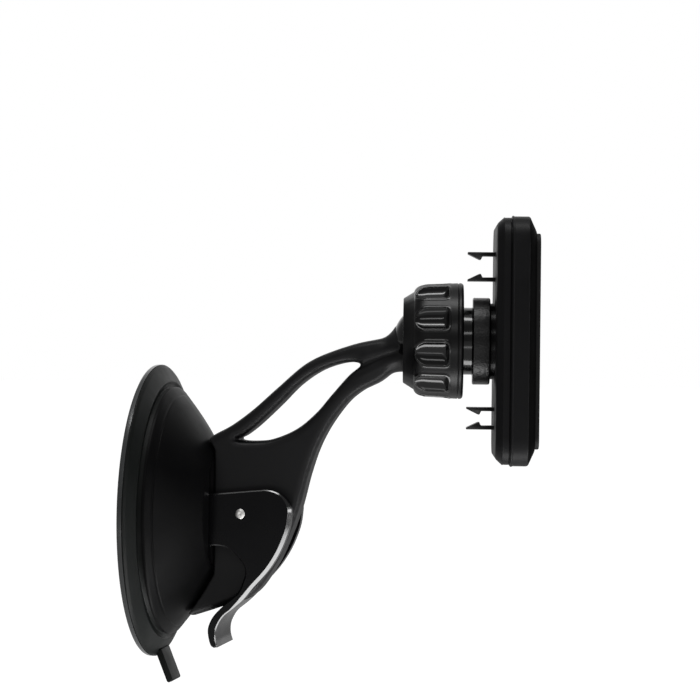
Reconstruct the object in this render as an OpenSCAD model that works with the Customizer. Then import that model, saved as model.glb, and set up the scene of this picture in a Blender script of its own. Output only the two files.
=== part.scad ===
// Magnetic phone holder on a suction cup: levered cup, forked arm, ball joint and magnet head.
// The origin is the centre of the glass side of the cup. +X points from the glass to the phone,
// +Z is up. All sizes are in millimetres and all angles are in degrees.

/* [Suction pad] */
// Radius of the sealing rim
pad_r = 34; // [31:0.5:38]
// Height of the pad from the glass to the seat of the dome
pad_h = 4.3; // [4:0.1:5]
// Thickness of the gel layer that grips the glass
gel_t = 1.2; // [0.9:0.1:1.4]
// Width of the flat ring that meets the glass
seal_w = 4.6; // [3:0.2:6]
// Depth of the hollow in the gel face
hollow_d = 0.6; // [0.3:0.1:0.7]
// Width of the sloping shoulder outside the dome
shoulder_w = 5.4; // [4.6:0.1:6]
// Width of the release tab
tab_w = 8; // [5:0.5:10]
// Length of the release tab
tab_l = 8; // [6:0.5:10]
// Thickness of the release tab
tab_t = 1.5; // [1.2:0.1:1.8]
// Lean of the release tab away from the glass
tab_lean = 22; // [10:1:35]

/* [Dome] */
// Radius of the dome at its lip
dome_r = 28.8; // [28.6:0.1:29.2]
// Distance from the glass to the dome's crown
dome_top = 15; // [14.7:0.1:15.3]
// Radius of the crown
dome_flat_r = 14.2; // [13.9:0.1:14.8]
// Wall of the dome
dome_wall = 2.2; // [1.8:0.1:2.6]
// Radius of the ends of the recess under the lever
recess_r = 12.8; // [12:0.1:14]
// Depth of the recess under the lever
recess_d = 3.2; // [3:0.1:3.4]

/* [Arm] */
// Distance from the glass to the centre of the ball
ball_x = 64.7; // [60:0.5:75]
// Height of the ball above the axis of the cup
ball_z = 40.2; // [37:0.2:44]
// Thickness of the arm at its foot
arm_t = 9.6; // [9:0.1:10]
// Share of the foot's thickness that the arm keeps at the ball
arm_taper_share = 0.7; // [0.65:0.01:0.75]
// Rise of the neck towards the ball
neck_rise = 20; // [17:1:23]
// Radius of the neck behind the ball
neck_r = 4.1; // [3.6:0.1:4.3]
// Radius of the ball
ball_r = 8.5; // [8.2:0.1:8.6]

/* [Plunger and lever] */
// Distance from the glass to the pivot pin while the cup is locked
pin_x = 22.2; // [21.8:0.1:23]
// Radius of the pivot pin
pin_r = 1.2; // [1:0.05:1.4]
// Radius of the plunger's stem
stem_r = 3.1; // [2.6:0.1:3.2]
// Radius of the plunger's plate
plate_r = 9.4; // [8.5:0.1:10]
// Thickness of the plunger's plate
plate_t = 1.4; // [1.1:0.1:1.5]
// Travel of the plunger from locked to free
stroke = 2.4; // [2:0.1:2.5]
// Width of the lever over both cheeks
lever_w = 16; // [15:0.2:18]
// Thickness of one cheek
cheek_t = 2.8; // [2.2:0.1:2.9]
// Distance from the pin to the tip of the lever
lever_l = 31; // [28:0.5:34]
// Distance from the pin to the lever's edge beside the dome
cam_lock = 8.1; // [7.6:0.1:8.3]
// Distance from the pin to the lever's top edge
cam_free = 4.3; // [3.8:0.1:4.5]

/* [Ball clamp] */
// Turn of the head about the vertical through the ball
head_yaw = 8.6; // [-12:0.2:12]
// Largest radius of the clamp nut
nut_r = 13.3; // [13:0.1:14.5]
// Length of the clamp nut behind the ball's centre
nut_back = 6.2; // [6:0.1:6.5]
// Length of the clamp nut in front of the ball's centre
nut_front = 7.55; // [7.2:0.05:8]
// Radius of the nut's rear face
nut_face_r = 9.7; // [9.6:0.1:10.5]
// Number of flutes round the nut
flute_n = 10; // [8:1:12]
// Radius of one flute's trough
flute_r = 3; // [2.4:0.1:3.4]
// Depth of one flute
flute_d = 1.4; // [0.8:0.1:1.5]
// Angle of the first flute from the top
flute_phase = 31.4; // [0:0.2:36]
// Thickness of the friction liner in front of the ball
liner_t = 0.6; // [0.4:0.05:0.65]
// Radius of the smooth neck between the nut and the flange
boss_neck_r = 7.7; // [7.2:0.1:8.5]
// Radius of the textured flange
flange_r = 9.95; // [9:0.05:11]
// Thickness of the textured flange
flange_t = 4; // [3:0.1:5]

/* [Magnet head] */
// Width of the head
head_w = 40; // [36:1:50]
// Height of the head
head_h = 56; // [50:1:66]
// Corner radius of the head in front view
head_corner = 6.5; // [6:0.5:9]
// Distance from the ball's centre to the head's rear face
head_back = 14.7; // [14.4:0.1:17]
// Thickness of the rear cover
rear_t = 3.1; // [2.9:0.1:3.8]
// Thickness of the front cover
front_t = 5.6; // [5.4:0.1:6.5]
// Bevel round the rear face
rear_bevel = 1.85; // [1.2:0.05:2]
// Inset of the slope round the front face
front_inset = 3.5; // [2:0.1:4]
// Depth of the slope round the front face
front_slope = 1.6; // [1:0.1:2]
// Wall of both covers
cover_wall = 1.9; // [1.5:0.1:2.2]
// Thickness of the rubber face that the phone rests on
face_t = 0.9; // [0.6:0.1:1.5]
// Radius of one magnet
magnet_r = 5; // [4:0.1:5.2]
// Thickness of one magnet
magnet_t = 2; // [1.5:0.1:2.1]
// Thickness of the steel yoke behind the magnets
yoke_t = 1; // [0.6:0.1:1.2]
// Length of the snap hooks on the rear cover
hook_l = 6.3; // [4:0.1:8]
// Width of the snap hooks
hook_w = 5; // [3:0.5:8]
// Distance between the two upper hooks
hook_top_gap = 5.75; // [4.5:0.05:7]
// Distance between the two lower hooks
hook_low_gap = 4.2; // [4:0.05:7]

/* [Hidden] */
$fn = 64;

// Clearances: a turning fit, a loose gap between bodies, a shadow gap, and the overrun of cuts
fit = 0.08;
gap = 0.3;
shadow_gap = 0.4;
over = 0.5;
hair = 0.02;

// Pad: roundings, the seat under the dome's lip and the pocket that holds the plunger's plate
gel_round = 0.5;
pad_step = 0.15;
pad_round = 0.5;
pad_round_angle = 60;
seal_in_r = pad_r - seal_w;
shoulder_r = pad_r - shoulder_w;
lip_w = 2.4;
web_t = 1.6;
membrane_t = 0.8;
pocket_ring_w = 2.4;
pocket_lip_t = 0.8;
pocket_lip_w = 1.2;
gel_back = gel_t + hollow_d;
pocket_floor = gel_back + membrane_t;
plate_x = pocket_floor + gap + stroke;
pocket_r = plate_r + gap;
pocket_out_r = pocket_r + pocket_ring_w;
pocket_top = plate_x + plate_t + gap;
tab_root_x = gel_t + pad_step;
tab_root_depth = 1.4;

// Dome: lip, bulge of the slope, crown, floor and sides of the recess, inner ribs
lip_h = 0.2;
lip_round = 0.8;
lip_arc_angle = 40;
slope_bulge_share = 0.06;
crown_h = 1.4;
arm_root_x = dome_top - crown_h;
recess_floor = dome_top - recess_d;
floor_t = 1.9;
recess_side_gap = 0.5;
recess_half_w = lever_w / 2 + recess_side_gap;
floor_under = recess_floor - floor_t;
slope_x = pad_h + lip_h + lip_round * sin(lip_arc_angle);
slope_r = dome_r - lip_round * (1 - cos(lip_arc_angle));
rib_n = 8;
rib_t = 1.2;
rib_clear = 1.2;
rib_in_r = pocket_out_r + 2 * rib_clear;

// Arm: outline points as shares of the reach from the dome and of the height of the ball
arm_reach = ball_x - arm_root_x;
arm_heel_share = [0.211, -0.470];
arm_toe_share = [-0.060, -0.600];
arm_outline_shares = [[0.010, 0.435], [0.036, 0.455], [0.110, 0.507], [0.205, 0.598],
    [0.311, 0.719], [0.444, 0.863], [0.581, 0.943], [0.714, 0.990], [0.815, 0.998],
    [0.855, 0.885], [0.800, 0.786], [0.700, 0.715], [0.630, 0.642], [0.554, 0.512],
    [0.499, 0.378], [0.458, 0.224], [0.417, 0.025], [0.358, -0.174], [0.303, -0.316],
    arm_heel_share, [0.074, -0.542], arm_toe_share];
arm_toe_gap = 0.4;
window_shares = [[0.129, 0.421], [0.163, 0.447], [0.223, 0.507], [0.319, 0.622],
    [0.411, 0.739], [0.505, 0.821], [0.595, 0.863], [0.663, 0.873], [0.690, 0.855],
    [0.636, 0.794], [0.560, 0.684], [0.491, 0.580], [0.401, 0.485], [0.290, 0.425],
    [0.188, 0.411]];
// Foot of the arm in the dome's recess and the screws that hold it
foot_r = recess_r - gap;
foot_h = 3;
foot_step = 0.7;
screw_z = 8.6;
screw_r = 1.3;
screw_pilot_r = 1.1;
screw_head_r = 2.5;
screw_head_t = 1.3;
screw_l = 8;
screw_slot_w = 0.6;
screw_slot_d = 0.6;
// Neck: length, flare into the ball, and the cone that roots it in the arm
neck_l = 11.5;
neck_root_l = 11;
neck_root_share = 0.5;
flare_r = 1.6;
flare_angle = 75;
stem_head_l = 2;
stem_end = pin_x + pin_r + stem_head_l;

// Lever: outline points from the pin as shares of its length
lever_outer_shares = [[0.181, 0.181], [0.229, 0.177], [0.290, 0.155], [0.342, 0.113],
    [0.380, 0.048], [0.380, -0.010], [0.366, -0.105], [0.332, -0.206], [0.290, -0.297],
    [0.235, -0.387], [0.177, -0.461], [0.100, -0.545], [0.026, -0.635], [-0.048, -0.703],
    [-0.119, -0.761], [-0.158, -0.819], [-0.177, -0.874], [-0.177, -0.939],
    [-0.160, -0.995]];
lever_inner_shares = [[-0.190, -1.000], [-0.213, -0.985], [-0.229, -0.942],
    [-0.239, -0.874], [-0.226, -0.819], [-0.194, -0.761], [-0.137, -0.700],
    [-0.058, -0.626], [-0.006, -0.571], [0.023, -0.503], [0.042, -0.445],
    [0.035, -0.390], [0.003, -0.342], [-0.048, -0.290], [-0.103, -0.252],
    [-0.168, -0.239], [-0.239, -0.242]];
lever_low_share = 0.242;
bridge_gap = 0.5;
pin_proud = 0.25;
pin_bore_share = 0.42;
cheek_bore_r = pin_r + fit;

// Spring: a cone of wire round the stem, from the plunger's plate to the dome's floor
wire_r = 0.35;
spring_turns = 3;
spring_big_r = 7.4;
spring_small_r = 4.3;
wire_sides = 8;
spring_steps = 20;
spring_low = plate_x + plate_t + wire_r + hair;
spring_high = floor_under - wire_r - hair;

// Clamp: seats round the ball, opening for the neck, threads
seat_gap = 0.15;
liner_in = ball_r + seat_gap;
liner_out = liner_in + liner_t;
liner_half_angle = 26;
liner_gap = 0.2;
cavity_r = liner_out + liner_gap;
ring_back = 4.2;
ring_front = 1;
ring_out_r = 9.9;
ring_chamfer = 0.9;
ring_split = 1.2;
ring_in = ball_r + seat_gap + hair;
opening_r = 8.6;
opening_neck_r = 8;
opening_lip_t = 1;
opening_neck_x = nut_back - opening_lip_t;
thread_root_r = 10.35;
thread_crest_r = 10.85;
thread_pitch = 2;
thread_w = 0.8;
thread_n = 3;
boss_start = 0.9;
boss_thread_end = 7.1;
thread_gap = 0.2;
nut_bore_r = thread_crest_r + thread_gap;
nut_crest_r = thread_root_r + thread_gap;
nut_cavity_r = ring_out_r + gap;
nut_shoulder_x = 3.8;
nut_shoulder_r = 10.9;
nut_crown_r = 13;
nut_end_round = 0.75;
flute_back = 3.6;
flute_front = 4.2;
boss_neck_l = 2.1;
flange_x = nut_front + boss_neck_l;
flange_chamfer = 0.35;
boss_foot_r = 8.7;

// Head: places of the covers along the head's axis, and what they hold
seam = 0.2;
seam_lip = 0.15;
seam_lip_t = 0.4;
rear_inner = head_back + cover_wall;
seam_x = head_back + rear_t;
front_x = seam_x + seam;
front_end = front_x + front_t;
front_wall = 1.5;
front_inner = front_end - front_wall;
boss_screw_n = 3;
boss_screw_ring_r = 5;
boss_screw_r = 1;
boss_screw_l = 3.6;
boss_head_r = 2;
boss_head_t = 0.9;
post_r = 2.6;
post_inset = 6.5;
post_y = head_w / 2 - post_inset;
post_z = head_h / 2 - post_inset;
cover_screw_r = 1;
cover_head_r = 1.9;
cover_head_t = 1.1;
cover_screw_l = 6.4;
magnet_pitch_y = 11.2;
magnet_pitch_z = 15;
magnet_rows = 3;
pocket_wall = 0.6;
pocket_h = 1.2;
yoke_margin = 0.4;
yoke_w = magnet_pitch_y + 2 * magnet_r + 2 * yoke_margin;
yoke_h = 2 * magnet_pitch_z + 2 * magnet_r + 2 * yoke_margin;
yoke_corner = 3;
magnet_x = front_inner - magnet_t;
yoke_x = magnet_x - yoke_t;
face_inset = 0.3;
tongue_t = 0.8;
tongue_l = 0.8;
hook_t = 0.9;
hook_barb = 0.85;
hook_top_z = 17.05;
hook_low_z = -17.65;
hook_barb_share = 0.55;
hook_back_share = 0.42;

// A smooth curve through hand-set points
function spline_point(a, b, c, d, t) =
    (2 * b + (c - a) * t + (2 * a - 5 * b + 4 * c - d) * t * t
    + (3 * b - a - 3 * c + d) * t * t * t) / 2;
function at(points, i) = points[(i + len(points)) % len(points)];
function held(points, i) = points[max(0, min(len(points) - 1, i))];
function closed_curve(points, steps) = [for (i = [0:len(points) - 1]) for (k = [0:steps - 1])
    spline_point(at(points, i - 1), points[i], at(points, i + 1), at(points, i + 2), k / steps)];
function open_curve(points, steps) = [for (i = [0:len(points) - 2]) for (k = [0:steps - 1])
    spline_point(held(points, i - 1), points[i], points[i + 1], held(points, i + 2), k / steps),
    points[len(points) - 1]];
function arc(centre, r, from, to, steps) = [for (i = [0:steps])
    centre + r * [cos(from + (to - from) * i / steps), sin(from + (to - from) * i / steps)]];

// Half the thickness of the arm at a distance from the glass
function arm_half(x) = arm_t / 2 * (1 - (1 - arm_taper_share) * (x - arm_root_x) / arm_reach);
function on_arm(shares) = [for (s = shares) [arm_root_x + s[0] * arm_reach, s[1] * ball_z]];

// Turns a solid made along Z so that it lies along X
module along_x() {
    rotate([0, 90, 0]) children();
}

// Extrudes an XZ outline by a thickness across Y
module across(thickness) {
    rotate([90, 0, 0]) linear_extrude(thickness, center = true) children();
}

module tube_x(from, to, r) {
    translate([from, 0, 0]) along_x() cylinder(h = to - from, r = r);
}

module spun(points) {
    along_x() rotate_extrude() polygon(points);
}

// Moves a solid made round the ball's centre into its place on the head
module on_head() {
    translate([ball_x, 0, ball_z]) rotate([0, 0, head_yaw]) children();
}

// Plan of the arm seen along Z: its thickness falls evenly towards the ball
module arm_plan() {
    linear_extrude(2 * (ball_z + dome_r), center = true)
        polygon([[0, -arm_half(0)], [ball_x, -arm_half(ball_x)], [ball_x, arm_half(ball_x)],
            [0, arm_half(0)]]);
}

// Slotted round-head screw whose head's seat is at zero and whose shank runs along +X
module screw(shank_r, shank_l, head_r, head_t) {
    tip = shank_r / 2;
    difference() {
        union() {
            tube_x(-head_t, 0, head_r);
            tube_x(-hair, shank_l - shank_r, shank_r);
            translate([shank_l - shank_r, 0, 0]) along_x() cylinder(h = shank_r, r1 = shank_r, r2 = tip);
        }
        translate([-head_t, 0, 0]) cube([screw_slot_d, 2 * head_r + over, screw_slot_w], center = true);
    }
}

module gel_layer() color([0.10, 0.10, 0.10]) {
    front = [for (i = [0:6]) let (t = i / 6) [seal_in_r * t, hollow_d * (1 - t * t)]];
    back = [for (i = [6:-1:0]) let (t = i / 6) [seal_in_r * t, gel_t + hollow_d * (1 - t * t)]];
    edge = arc([pad_r - gel_round, gel_round], gel_round, -90, 0, 4);
    spun(concat(front, edge, [[pad_r, gel_t]], back));
}

module release_tab() {
    translate([tab_root_x, -tab_w / 2, tab_root_depth - pad_r])
        rotate([0, -tab_lean, 0]) translate([0, 0, -tab_l]) cube([tab_t, tab_w, tab_l]);
}

module suction_pad() color([0.17, 0.18, 0.17]) {
    front = [for (i = [0:6]) let (t = i / 6) [seal_in_r * t, gel_back - hollow_d * t * t]];
    shoulder = concat([[pad_r - pad_step, gel_t]],
        arc([pad_r - pad_step - pad_round, gel_t + pad_step], pad_round, 0, pad_round_angle, 3),
        [[shoulder_r, pad_h]]);
    lip_in_r = dome_r - lip_w;
    union() {
        spun(concat(front, shoulder, [
            [lip_in_r - web_t, pad_h],
            [lip_in_r - 2 * web_t, gel_back + web_t],
            [pocket_out_r, gel_back + web_t],
            [pocket_out_r, pocket_top + pocket_lip_t],
            [pocket_r - pocket_lip_w, pocket_top + pocket_lip_t],
            [pocket_r - pocket_lip_w, pocket_top],
            [pocket_r, pocket_top],
            [pocket_r, pocket_floor],
            [0, pocket_floor]]));
        release_tab();
    }
}

// Outer line of the dome from its lip to its crown, grown outwards by a distance
function dome_line(grow) = concat(
    arc([dome_r - lip_round, pad_h + lip_h], lip_round + grow, 0, lip_arc_angle, 4),
    [for (i = [1:9]) let (t = i / 10) [
        slope_r + grow / 2 - (slope_r - dome_flat_r) * t,
        slope_x + grow - (slope_x - dome_top) * (t + slope_bulge_share * sin(180 * t))]],
    [[dome_flat_r, dome_top + grow]]);

module dome_ribs() {
    low = slope_x + rib_clear;
    edge = [for (p = dome_line(0)) [p[1] - dome_wall / 4, p[0] - dome_wall / 2]];
    for (i = [0:rib_n - 1]) rotate([(i + 0.5) * 360 / rib_n, 0, 0]) across(rib_t)
        polygon(concat([[low, rib_in_r]], [for (p = edge) if (p[0] > low && p[1] > rib_in_r) p],
            [[dome_top - dome_wall, rib_in_r]]));
}

module dome_cover() color([0.12, 0.12, 0.12]) {
    inner = [for (p = dome_line(0)) [p[0] - dome_wall, max(pad_h, p[1] - dome_wall / 2)]];
    last = len(inner) - 1;
    difference() {
        union() {
            spun(concat(
                [[dome_r - lip_w, pad_h], [dome_r, pad_h]],
                dome_line(0),
                [[0, dome_top], [0, floor_under], [recess_r + dome_wall, floor_under]],
                [for (i = [last:-1:0]) if (inner[i][0] > recess_r + dome_wall && inner[i][1] > pad_h)
                    [inner[i][0], min(inner[i][1], dome_top - dome_wall)]]));
            dome_ribs();
        }
        intersection() {
            tube_x(recess_floor, dome_top + over, recess_r);
            translate([recess_floor, -recess_half_w, -recess_r - over])
                cube([recess_d + over, 2 * recess_half_w, 2 * (recess_r + over)]);
        }
        tube_x(floor_under - over, recess_floor + over, stem_r + fit);
        for (side = [-1, 1]) translate([0, 0, side * screw_z])
            tube_x(floor_under - over, recess_floor + over, screw_r + fit);
    }
}

// Outline of the arm: its free edges, then the edge that follows the dome a shadow gap away
function arm_outline() =
    let (free = on_arm(arm_outline_shares), toe = free[len(free) - 1],
        slope = dome_line(arm_toe_gap), last = len(slope) - 1)
    concat(open_curve(free, 3),
        [for (p = slope) if (p[0] < -toe[1] && p[0] > dome_flat_r + arm_toe_gap) [p[1], -p[0]]],
        [for (k = [-1:0.5:1]) [dome_top + shadow_gap, k * dome_flat_r]],
        [for (i = [last:-1:0]) if (slope[i][0] < free[0][1] && slope[i][0] > dome_flat_r + arm_toe_gap)
            [slope[i][1], slope[i][0]]]);

module neck() {
    start = neck_r + flare_r * (1 - cos(flare_angle));
    reach = sqrt(pow(ball_r - gap, 2) - start * start);
    flare = [for (i = [0:5]) let (a = flare_angle * (1 - i / 5))
        [neck_r + flare_r * (1 - cos(a)), reach + flare_r * (sin(flare_angle) - sin(a))]];
    translate([ball_x, 0, ball_z]) rotate([0, -90 - neck_rise, 0])
        rotate_extrude() polygon(concat([[0, 0], [neck_r, 0]], flare, [[neck_r, neck_l],
            [neck_r * neck_root_share, neck_l + neck_root_l], [0, neck_l + neck_root_l]]));
}

module arm() color([0.13, 0.13, 0.13]) {
    difference() {
        union() {
            difference() {
                intersection() {
                    across(2 * arm_t) polygon(arm_outline());
                    arm_plan();
                }
                across(3 * arm_t) polygon(closed_curve(on_arm(window_shares), 3));
            }
            intersection() {
                tube_x(recess_floor, dome_top + foot_h, foot_r);
                translate([recess_floor - over, -arm_t / 2 + foot_step, -foot_r - over])
                    cube([recess_d + foot_h + 2 * over, arm_t - 2 * foot_step, 2 * (foot_r + over)]);
            }
            neck();
            translate([ball_x, 0, ball_z]) sphere(r = ball_r);
        }
        tube_x(recess_floor - over, stem_end + gap, stem_r + fit);
        for (side = [-1, 1]) translate([0, 0, side * screw_z])
            tube_x(recess_floor - over, floor_under + screw_l + gap, screw_pilot_r);
        pin_slot();
    }
}

// Slot through the arm in which the pivot pin travels with the plunger
module pin_slot() {
    slot_r = pin_r + gap;
    for (x = [pin_x, pin_x - stroke]) translate([x, 0, 0]) rotate([90, 0, 0])
        cylinder(h = arm_t + over, r = slot_r, center = true);
    translate([pin_x - stroke, -arm_t, -slot_r]) cube([stroke, 2 * arm_t, 2 * slot_r]);
}

module arm_screws() color([0.75, 0.75, 0.76]) {
    for (side = [-1, 1]) translate([floor_under, 0, side * screw_z])
        screw(screw_pilot_r, screw_l, screw_head_r, screw_head_t);
}

module plunger() color([0.30, 0.30, 0.31]) {
    difference() {
        union() {
            tube_x(plate_x, plate_x + plate_t, plate_r);
            tube_x(plate_x, stem_end, stem_r);
        }
        translate([pin_x, 0, 0]) rotate([90, 0, 0])
            cylinder(h = 2 * stem_r + over, r = pin_r + hair, center = true);
    }
}

module pivot_pin() color([0.82, 0.82, 0.80]) {
    length = lever_w + 2 * pin_proud;
    translate([pin_x, 0, 0]) rotate([90, 0, 0]) difference() {
        cylinder(h = length, r = pin_r, center = true);
        cylinder(h = length + over, r = pin_r * pin_bore_share, center = true);
    }
}

module return_spring() color([0.70, 0.70, 0.72]) {
    last = spring_turns * spring_steps;
    points = [for (i = [0:last]) let (t = i / last, a = 360 * spring_turns * t,
        r = spring_big_r + (spring_small_r - spring_big_r) * t,
        x = spring_low + (spring_high - spring_low) * t)
        for (k = [0:wire_sides - 1]) let (b = 360 * k / wire_sides, q = r + wire_r * cos(b))
            [x + wire_r * sin(b), q * cos(a), q * sin(a)]];
    sides = [for (i = [0:last - 1]) for (k = [0:wire_sides - 1])
        let (a = i * wire_sides + k, b = i * wire_sides + (k + 1) % wire_sides)
        each [[a, b, b + wire_sides], [a, b + wire_sides, a + wire_sides]]];
    start = [for (k = [wire_sides - 1:-1:0]) k];
    end = [for (k = [0:wire_sides - 1]) last * wire_sides + k];
    polyhedron(points, concat([start, end], sides), convexity = 6);
}

function on_lever(shares) = [for (s = shares) lever_l * s];
function lever_outline() = concat(
    [[-cam_lock, -lever_low_share * lever_l], [-cam_lock, cam_free]],
    open_curve(on_lever(lever_outer_shares), 3),
    open_curve(on_lever(lever_inner_shares), 3));

module lever_side() {
    translate([pin_x, 0]) polygon(lever_outline());
}

// Everything below the foot of the arm, where the lever's two cheeks are joined
module below_arm() {
    heel = on_arm([arm_heel_share])[0];
    toe = on_arm([arm_toe_share])[0];
    along = (toe - heel) / norm(toe - heel);
    down = [-along[1], along[0]];
    first = heel - lever_l * along + bridge_gap * down;
    second = toe + lever_l * along + bridge_gap * down;
    polygon([first, second, second + lever_l * down, first + lever_l * down]);
}

module lever() color([0.11, 0.11, 0.12]) {
    difference() {
        union() {
            for (side = [-1, 1]) translate([0, side * (lever_w - cheek_t) / 2, 0])
                across(cheek_t) lever_side();
            across(lever_w) intersection() {
                lever_side();
                below_arm();
            }
        }
        translate([pin_x, 0, 0]) rotate([90, 0, 0])
            cylinder(h = lever_w + over, r = cheek_bore_r, center = true);
    }
}

module ball_liner() color([0.35, 0.35, 0.36]) {
    shell = concat(arc([0, 0], liner_out, 90, 90 - liner_half_angle, 8),
        arc([0, 0], liner_in, 90 - liner_half_angle, 90, 8));
    on_head() spun(shell);
}

module clamp_ring() color([0.28, 0.28, 0.30]) {
    on_head() difference() {
        spun([[0, -ring_back], [ring_out_r - ring_chamfer, -ring_back],
            [ring_out_r, ring_chamfer - ring_back], [ring_out_r, -ring_front], [0, -ring_front]]);
        sphere(r = ring_in);
        translate([-ring_back - over, -ring_split / 2, 0])
            cube([ring_back + over, ring_split, ring_out_r + over]);
    }
}

module clamp_nut() color([0.14, 0.14, 0.14]) {
    outline = [[opening_r, -nut_back], [nut_face_r, -nut_back], [nut_shoulder_r, -nut_shoulder_x]];
    rim_x = nut_front - nut_end_round;
    on_head() difference() {
        union() {
            spun(concat(outline,
                [for (i = [1:6]) let (a = 15 * i) [
                    nut_shoulder_r + (nut_crown_r - nut_shoulder_r) * sin(a),
                    -nut_shoulder_x + nut_shoulder_x * (1 - cos(a))]],
                [[nut_r, rim_x]],
                arc([nut_r - nut_end_round, rim_x], nut_end_round, 0, 90, 3),
                [[nut_bore_r, nut_front], [nut_bore_r, boss_start - gap],
                [nut_cavity_r, boss_start - gap], [nut_cavity_r, -ring_back + ring_chamfer],
                [ring_out_r - ring_chamfer + gap, -ring_back - gap / 2],
                [opening_neck_r + gap, -opening_neck_x + gap], [opening_neck_r, -opening_neck_x]]));
            for (i = [0:thread_n - 1]) thread_ring(boss_start + (i + 1) * thread_pitch - thread_w / 2,
                nut_crest_r, nut_bore_r + hair);
        }
        for (i = [0:flute_n - 1]) rotate([flute_phase + i * 360 / flute_n, 0, 0])
            translate([0, 0, nut_r - flute_d + flute_r]) {
                tube_x(-flute_back, flute_front - flute_r / 2, flute_r);
                translate([flute_front - flute_r / 2, 0, 0]) sphere(r = flute_r);
                translate([-flute_back, 0, 0]) sphere(r = flute_r);
            }
    }
}

module thread_ring(x, from_r, to_r) {
    spun([[from_r, x], [to_r, x], [to_r, x + thread_w], [from_r, x + thread_w]]);
}

module socket_boss() color([0.15, 0.15, 0.15]) {
    flange_end = flange_x + flange_t;
    on_head() difference() {
        union() {
            tube_x(boss_start, boss_thread_end, thread_root_r);
            for (i = [0:thread_n - 1]) thread_ring(boss_start + (i + 0.5) * thread_pitch - thread_w / 2,
                thread_root_r - hair, thread_crest_r);
            tube_x(boss_thread_end - hair, flange_x + hair, boss_neck_r);
            tube_x(flange_x, flange_end - flange_chamfer, flange_r);
            translate([flange_end - flange_chamfer, 0, 0]) along_x()
                cylinder(h = flange_chamfer, r1 = flange_r, r2 = flange_r - flange_chamfer);
            tube_x(flange_end - hair, head_back, boss_foot_r);
        }
        sphere(r = cavity_r);
        boss_screw_places() tube_x(head_back - boss_screw_l, head_back + over, boss_screw_r);
    }
}

module boss_screw_places() {
    for (i = [0:boss_screw_n - 1]) rotate([i * 360 / boss_screw_n, 0, 0])
        translate([0, 0, boss_screw_ring_r]) children();
}

module boss_screws() color([0.75, 0.75, 0.76]) {
    on_head() boss_screw_places() translate([rear_inner, 0, 0]) mirror([1, 0, 0])
        screw(boss_screw_r - hair, boss_screw_l + cover_wall - gap, boss_head_r, boss_head_t);
}

// Flat solid with rounded corners whose edge slopes in by an inset over its whole depth
module sloped_slab(x, depth, w, h, corner, inset_low, inset_high) {
    for (turn = [0, 90]) {
        span = turn == 0 ? w : h;
        run = turn == 0 ? h : w;
        half_low = span / 2 - inset_low;
        half_high = span / 2 - inset_high;
        rotate([turn, 0, 0]) translate([x, 0, 0]) linear_extrude(run - 2 * corner, center = true)
            polygon([[0, -half_low], [depth, -half_high], [depth, half_high], [0, half_low]]);
    }
    for (sy = [-1, 1]) for (sz = [-1, 1])
        translate([x, sy * (w / 2 - corner), sz * (h / 2 - corner)]) along_x()
            cylinder(h = depth, r1 = corner - inset_low, r2 = corner - inset_high);
}

module slab(x, depth, w, h, corner) {
    sloped_slab(x, depth, w, h, corner, 0, 0);
}

module post_places() {
    for (sy = [-1, 1]) for (sz = [-1, 1]) translate([0, sy * post_y, sz * post_z]) children();
}

// One snap hook pointing back from the rear cover, its barb turned up or down
module snap_hook(z, facing) {
    outline = [[0, -hook_t / 2], [0, hook_t / 2],
        [-hook_l * hook_back_share, hook_t / 2], [-hook_l * hook_barb_share, hook_t / 2 + hook_barb],
        [-hook_l, -hook_t / 6], [-hook_l, -hook_t / 2]];
    translate([head_back + hair, 0, z]) across(hook_w)
        polygon([for (p = outline) [p[0], facing * p[1]]]);
}

module rear_cover() color([0.20, 0.20, 0.21]) {
    on_head() difference() {
        union() {
            sloped_slab(head_back, rear_bevel, head_w, head_h, head_corner, rear_bevel, 0);
            slab(head_back + rear_bevel, rear_t - rear_bevel, head_w, head_h, head_corner);
            snap_hook(hook_top_z + hook_top_gap / 2, -1);
            snap_hook(hook_top_z - hook_top_gap / 2, 1);
            snap_hook(hook_low_z + hook_low_gap / 2, -1);
            snap_hook(hook_low_z - hook_low_gap / 2, 1);
        }
        slab(rear_inner, rear_t, head_w - 2 * cover_wall, head_h - 2 * cover_wall,
            head_corner - cover_wall);
        boss_screw_places() tube_x(head_back - over, rear_inner + over, boss_screw_r + fit);
        post_places() {
            tube_x(head_back - over, rear_inner + over, cover_screw_r + fit);
            tube_x(head_back - over, head_back + cover_head_t, cover_head_r + fit);
        }
    }
}

module front_cover() color([0.21, 0.21, 0.22]) {
    inner_w = head_w - 2 * cover_wall;
    inner_h = head_h - 2 * cover_wall;
    inner_corner = head_corner - cover_wall;
    straight = front_t - front_slope;
    on_head() difference() {
        union() {
            difference() {
                union() {
                    slab(front_x, seam_lip_t, head_w + 2 * seam_lip, head_h + 2 * seam_lip,
                        head_corner + seam_lip);
                    slab(front_x + hair, straight - hair, head_w, head_h, head_corner);
                    sloped_slab(front_x + straight, front_slope, head_w, head_h, head_corner, 0,
                        front_inset);
                    slab(front_x - seam - tongue_l, tongue_l + seam + hair, inner_w - 2 * fit,
                        inner_h - 2 * fit, inner_corner - fit);
                }
                slab(front_x - seam - tongue_l - over, front_inner - front_x + seam + tongue_l + over,
                    inner_w - 2 * tongue_t, inner_h - 2 * tongue_t, inner_corner - tongue_t);
            }
            post_places() tube_x(rear_inner, front_inner + hair, post_r);
            magnet_places() tube_x(front_inner - pocket_h, front_inner + hair,
                magnet_r + fit + pocket_wall);
        }
        magnet_places() tube_x(front_inner - pocket_h - over, front_inner, magnet_r + fit);
        post_places() tube_x(rear_inner - over, head_back + cover_screw_l + gap, cover_screw_r);
    }
}

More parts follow.
